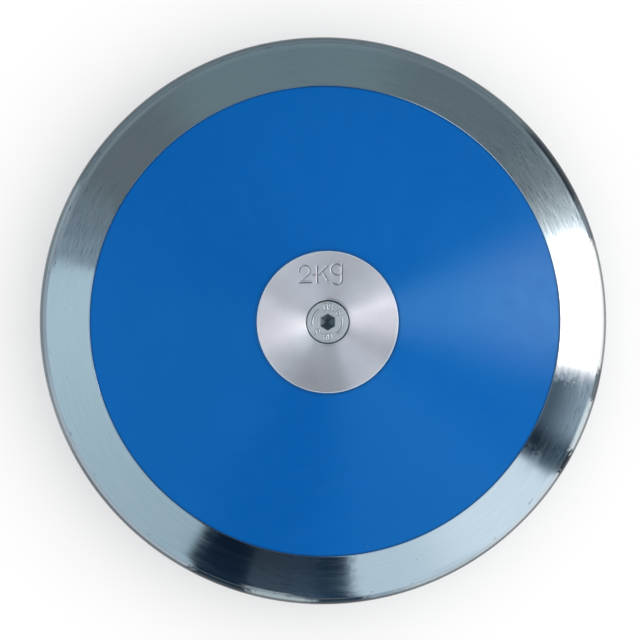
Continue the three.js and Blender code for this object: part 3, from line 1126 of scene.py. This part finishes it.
def plate_painted_light(tree, where, face):
    turn = bearing_on_disc(tree, where, SOFT_RAGGEDNESS)
    on_face = ramp(tree, where.radius, head_radius, sink_radius)
    # The face is lighter in one sector near the screw.
    lighter_share = times(tree, sector(tree, turn, *LIGHTER_SECTOR), ramp(tree, where.radius, *LIGHTER_ENDS))
    face = lay(tree, face, times(tree, lighter_share, on_face), LIGHTER_PATCH)
    face = blend(tree, times(tree, hub_painted_shade(tree, where, turn), on_face), face, HUB_SHADE)
    face = blend(tree, times(tree, shaded_groove_walls(tree, where), on_face), face, GROOVE_SHADE)
    # Painted shade, with some soil, darkens the gap round the screw's head.
    face = shade_and_soil_in_hole(tree, where, sink_radius, face, GAP_SHADE_AND_SOIL)
    # Painted reflection: the rounded edge takes the blue of the plate beside it and is less of a metal.
    edge = ramp(tree, where.radius, *hub_edge_reflection_ends)
    metallic = ramp(tree, edge, 0.0, 1.0, 1.0, HUB_EDGE_METALLIC)
    return {"Base_Color": blend(tree, edge, face, HUB_EDGE_REFLECTION), "Metallic": metallic}


aluminiums = ((0.81, 0.796, 0.84), (0.865, 0.85, 0.895))
turned_aluminium = turned_finish("turned_aluminium", aluminiums, 0.42, 3.0, 0.84, plate_painted_light)
print("Finish ready:", turned_aluminium.name)

# %% [markdown]
# The screws are zinc-plated. Their raised marks are too small to shade themselves clearly, so a painted
# shade along the foot of each mark and a painted highlight on its crest do that, both told by the depth
# below the face.
# Bar steel is what the core is turned from. It never shows, and gets no painted shade.

# %% Painted shade and highlights on the screws
FOOT_SHADE_DEPTHS = (0.06 * MM, 0.14 * MM)
FOOT_SHADE_END_DEPTHS = (0.2 * MM, 0.19 * MM)
FOOT_SHADE = ((0.11, 0.13, 0.15), 0.95)
foot_shade_ends = (head_radius - 0.6 * MM, head_radius - 0.7 * MM)
CREST_HIGHLIGHT_DEPTHS = (0.08 * MM, 0.04 * MM)
CREST_HIGHLIGHT = (0.94, 0.97, 0.98)
SOCKET_SHADE_AND_SOIL = (0.18, 0.215, 0.25)
shaded_and_soiled_mouth = 3.8 * MM


def screw_painted_light(tree, where, face):
    depth = depth_below_face(tree, where)
    foot = times(tree, ramp(tree, depth, *FOOT_SHADE_DEPTHS), ramp(tree, depth, *FOOT_SHADE_END_DEPTHS))
    foot = times(tree, foot, ramp(tree, where.radius, *foot_shade_ends))
    # Painted shade along the foot of each raised mark, and a painted highlight on its crest.
    face = lay(tree, face, foot, FOOT_SHADE)
    face = blend(tree, ramp(tree, depth, *CREST_HIGHLIGHT_DEPTHS), face, CREST_HIGHLIGHT)
    # Painted shade, with some soil, darkens the socket.
    return {"Base_Color": shade_and_soil_in_hole(tree, where, shaded_and_soiled_mouth, face, SOCKET_SHADE_AND_SOIL)}


zincs = ((0.49, 0.525, 0.545), (0.575, 0.61, 0.63))
zinced_steel = turned_finish("zinced_steel", zincs, 0.36, 2.0, 0.2, screw_painted_light)
bars = ((0.42, 0.42, 0.43), (0.52, 0.52, 0.53))
bar_steel = turned_finish("bar_steel", bars, 0.32, 1.5, 0.5)
print("Finishes ready:", zinced_steel.name, bar_steel.name)

# %% [markdown]
# Each piece now gets its finish, hides the piece of the frame that it stands for, and rides with the body.
# The core and the trim washers are right as they are: nothing shows of them, so they stay and only
# take a finish.

# %% Dress the pieces
dressed = [
    (rim, "rim", "rim_steel", plated_steel),
    (upper_plate, "side_plate_upper", "plate_blue", blue_plastic),
    (lower_plate, "side_plate_lower", "plate_blue", blue_plastic),
    (upper_hub, "centre_plate_upper", "centre_aluminium", turned_aluminium),
    (lower_hub, "centre_plate_lower", "centre_aluminium", turned_aluminium),
    (upper_screw, "centre_screw_upper", "screw_steel", zinced_steel),
    (lower_screw, "centre_screw_lower", "screw_steel", zinced_steel),
]
for piece, node, slot, finish in dressed:
    piece.data.materials.clear()
    piece.data.materials.append(finish)
    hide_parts(node)
    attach(piece, "root")

for name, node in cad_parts.items():
    if name == "hub_core" or name.startswith("trim_washer"):
        node.data.materials.clear()
        node.data.materials.append(bar_steel if name == "hub_core" else zinced_steel)
print("Pieces dressed:", len(dressed))

# %% [markdown]
# The floor is a pale sheet at the height of the lower flat face, on which the discus rests.
# A little light of its own, seen by the camera and by reflections alone, lifts it to white.
# The rest of its brightness is ordinary shading, so the shadow of the discus stays.
# From below it is clear, so that it doesn't hide the far side of the discus.

# %% Lay the floor
FLOOR_SIZE = 8
FLOOR_COLOUR = (0.72, 0.72, 0.72, 1.0)
FLOOR_GLOW = (1.0, 1.0, 1.0, 1.0)
FLOOR_GLOW_STRENGTH = 0.30


def seen_or_mirrored(tree):
    rays = add(tree, "ShaderNodeLightPath").outputs
    seen = larger(tree, rays["Is Camera Ray"], rays["Is Glossy Ray"])
    return larger(tree, seen, rays["Is Transmission Ray"])


bpy.ops.object.select_all(action="DESELECT")
bpy.ops.mesh.primitive_plane_add(size=FLOOR_SIZE, location=(0, 0, cad_low.z))
floor = bpy.context.object
floor.name = "floor"
bpy.ops.object.transform_apply(location=True, rotation=False, scale=False)
floor_paint, tree, shader = new_material(
    "floor_paint",
    Base_Color=FLOOR_COLOUR,
    Roughness=0.9,
    Specular_IOR_Level=0.0,
    Emission_Color=FLOOR_GLOW,
)
glow = times(tree, seen_or_mirrored(tree), FLOOR_GLOW_STRENGTH)
feed(tree, shader, Emission_Strength=glow)
below = add(tree, "ShaderNodeNewGeometry").outputs["Backfacing"]
clear = add(tree, "ShaderNodeBsdfTransparent").outputs[0]
one_sided = add(tree, "ShaderNodeMixShader", {0: below, 1: shader.outputs[0], 2: clear}).outputs[0]
tree.links.new(one_sided, tree.nodes["Material Output"].inputs["Surface"])
floor.data.materials.append(floor_paint)
print("The floor lies at", round(cad_low.z / MM, 2), "mm")

# %% [markdown]
# The studio is a dome round the floor. A polished ring shows whatever stands about thirty degrees off
# straight up, so the dome holds what a photographer would stand there: a white panel at the right,
# pale cloths at the lower right and left, and dark flags between them. Lamps would do for the light,
# but a mirror also shows what is dark. Each cloth has its bearing, counter-clockwise from the picture's
# top, and begins some way down from the dome's top. The round edge mirrors what hangs lower still.
# The camera leans a little off the axis. What the discus mirrors leans the other way, and so does
# the circle below which all is pale.

# %% Find each direction's place on the dome
world = bpy.data.worlds.new("studio")
bpy.context.scene.world = world
world.use_nodes = True
tree = world.node_tree
tree.nodes.clear()
direction = add(tree, "ShaderNodeTexCoord").outputs["Generated"]
parts = add(tree, "ShaderNodeSeparateXYZ", {0: direction}).outputs
from_top = times(tree, calculate(tree, "ARCCOSINE", parts["Z"]), TO_DEGREES)
turned = calculate(tree, "ARCTAN2", times(tree, parts["X"], -1.0), parts["Y"])
bearing = calculate(tree, "FLOORED_MODULO", times(tree, turned, TO_DEGREES), FULL_TURN)
LEAN_LEFT = 3.05
LEAN_UP = 0.82
mirrored = Vector((sin(radians(LEAN_LEFT)), -sin(radians(LEAN_UP)), 1)).normalized()
aside = on_vectors(tree, "DOT_PRODUCT", direction, mirrored)["Value"]
from_mirrored = times(tree, calculate(tree, "ARCCOSINE", aside), TO_DEGREES)
print(f"The mirrored axis leans {LEAN_LEFT} degrees to the right and {LEAN_UP} down")

# %% Cut the cloths
HIGH = (9.0, 17.0)
MIDDLE = (17.0, 23.0)
LOW = (38.0, 50.0)

# Each cloth: first and last bearing, colour, softness of both sides, and where its top begins and ends.
CLOTHS = [
    (284, 330, (2.03, 2.17, 2.25), 5, 6, (7.0, 13.0)),
    (30, 60, (0.148, 0.178, 0.190), 8, 5, HIGH),
    (61, 80, (0.195, 0.245, 0.29), 3, 3, HIGH),
    (70, 80, (0.25, 0.32, 0.38), 4, 3, HIGH),
    (77.9, 156.2, (0.43, 0.55, 0.63), 1.6, 1.2, HIGH),
    (77.9, 120, (0.54, 0.68, 0.77), 1.6, 34, HIGH),
    (30, 64, (0.22, 0.27, 0.295), 8, 4, LOW),
    (64, 79, (0.30, 0.36, 0.42), 4, 2, LOW),
    (156.2, 170.3, (0.005, 0.018, 0.040), 1.2, 1.2, HIGH),
    (170.3, 191, (0.045, 0.078, 0.122), 1.2, 1.2, HIGH),
    (170.8, 178.5, (0.052, 0.077, 0.108), 1.4, 2, HIGH),
    (184, 191.5, (0.019, 0.046, 0.080), 1.2, 1.2, HIGH),
    (191.5, 237.9, (0.62, 0.74, 0.83), 1.2, 1.2, HIGH),
    (212, 237.9, (0.84, 0.95, 1.04), 10, 1.2, HIGH),
    (155.0, 160, (0.005, 0.018, 0.040), 1.2, 1.2, (35.0, 45.0)),
    (190.1, 212, (0.62, 0.74, 0.83), 2.2, 8, (36.0, 46.0)),
    (167.4, 177.0, (0.90, 0.98, 1.0), 1.6, 1.5, (42.0, 72.0)),
    (237.9, 257.5, (0.318, 0.404, 0.480), 1.2, 1.2, HIGH),
    (237.9, 245.0, (0.045, 0.080, 0.115), 1.2, 2.5, HIGH),
    (243.8, 252.6, (1.10, 1.15, 1.15), 1.2, 1.5, (57.0, 70.0)),
    (278, 338, (0.145, 0.188, 0.210), 4, 6, MIDDLE),
    (278, 302, (0.23, 0.265, 0.285), 4, 7, MIDDLE),
    (278, 294.5, (0.48, 0.54, 0.57), 4, 4, MIDDLE),
    (278, 288.1, (1.50, 1.60, 1.65), 4, 4.5, MIDDLE),
    (305, 345, (0.195, 0.24, 0.26), 6, 6, LOW),
    (296, 305, (0.32, 0.37, 0.40), 4, 6, LOW),
    (289.5, 293.8, (0.84, 0.91, 0.95), 2.5, 3.5, LOW),
    (259.3, 284.5, (3.4, 3.15, 3.2), 2.9, 2.5, (22.0, 38.0)),
    (261.5, 284, (9.3, 8.0, 7.9), 3, 3, (28.5, 35.5)),
    (259, 281, (1.50, 1.52, 1.52), 2, 4, (33.5, 38.5)),
]
print("Cloths cut:", len(CLOTHS))

# %% Hang the cloths
OVERHEAD = (0.80, 0.81, 0.87)
ALL_ROUND = (0.173, 0.237, 0.266)
FURTHER_DOWN = (0.197, 0.268, 0.302)
FURTHER_DOWN_TOP = (38.0, 46.0)
PALE = (0.98, 0.98, 0.98)
PALE_TOP = (74.0, 81.0)

sky = blend(tree, ramp(tree, from_top, *HIGH), OVERHEAD, ALL_ROUND)
sky = blend(tree, ramp(tree, from_top, *FURTHER_DOWN_TOP), sky, FURTHER_DOWN)
for start, end, colour, soft_start, soft_end, top in CLOTHS:
    across = sector(tree, bearing, start, end, soft_start, soft_end)
    sky = blend(tree, times(tree, across, ramp(tree, from_top, *top)), sky, colour)
sky = blend(tree, ramp(tree, from_mirrored, *PALE_TOP), sky, PALE)
print("Studio hung with", len([node for node in tree.nodes if node.type == "MIX"]), "layers")

# %% [markdown]
# Only the camera and mirrors see the cloths. The light that surfaces scatter comes from an even dome
# of about the strength of plain white, so that a colour renders about as it is written. It is
# a little stronger from above and from the right, where the white panel stands.

# %% Light the studio
EVEN_LOW = (0.92, 0.92, 0.93)
EVEN_HIGH = (1.06, 1.06, 1.05)
FROM_THE_RIGHT = 0.45

even = blend(tree, ramp(tree, parts["Z"], 0.0, 1.0), EVEN_LOW, EVEN_HIGH)
sideways = plus(tree, 1.0, times(tree, parts["X"], FROM_THE_RIGHT))
even = add(tree, "ShaderNodeVectorMath", {0: even, "Scale": sideways}, operation="SCALE").outputs[0]
shown = blend(tree, seen_or_mirrored(tree), even, sky)
background = add(tree, "ShaderNodeBackground", {"Color": shown, "Strength": 1.0})
output = add(tree, "ShaderNodeOutputWorld", {"Surface": background.outputs[0]})
print("The studio is lit by", output.name)

# %% [markdown]
# The photograph looks almost straight down the axis, a little from the left and from above.
# The raised centre shifts against the outline by that tilt, which gives the camera's direction.
# From a metre away, the nearer half of a tilted circle looks larger, so the disc's middle isn't
# quite in the middle of its outline.

# %% Place the camera
FRAME_PIXELS = 640
OUTLINE_RADIUS_PIXELS = 283.6
CENTRE_PIXELS = (324.51, 321.21)
CAMERA_DISTANCE = 1.0
NEAREST_SEEN = 0.01
SENSOR_WIDTH = 36

pixels_per_metre = OUTLINE_RADIUS_PIXELS / disc_radius
aim = Vector((
    (FRAME_PIXELS / 2 - CENTRE_PIXELS[0]) / pixels_per_metre,
    (CENTRE_PIXELS[1] - FRAME_PIXELS / 2) / pixels_per_metre,
    0,
))
toward_camera = Vector((-tan(radians(LEAN_LEFT)), tan(radians(LEAN_UP)), 1)).normalized()
bpy.ops.object.select_all(action="DESELECT")
bpy.ops.object.camera_add(location=aim + CAMERA_DISTANCE * toward_camera)
camera = bpy.context.object
camera.name = "camera"
picture_right = Vector((0, 1, 0)).cross(toward_camera).normalized()
picture_up = toward_camera.cross(picture_right)
camera.rotation_euler = Matrix((picture_right, picture_up, toward_camera)).transposed().to_euler()
camera.data.sensor_width = SENSOR_WIDTH
camera.data.lens = SENSOR_WIDTH * pixels_per_metre * CAMERA_DISTANCE / FRAME_PIXELS
camera.data.clip_start = NEAREST_SEEN
bpy.context.scene.camera = camera
bpy.context.scene.view_settings.view_transform = "Standard"
print(f"Lens {camera.data.lens:.1f} mm at {CAMERA_DISTANCE} m")
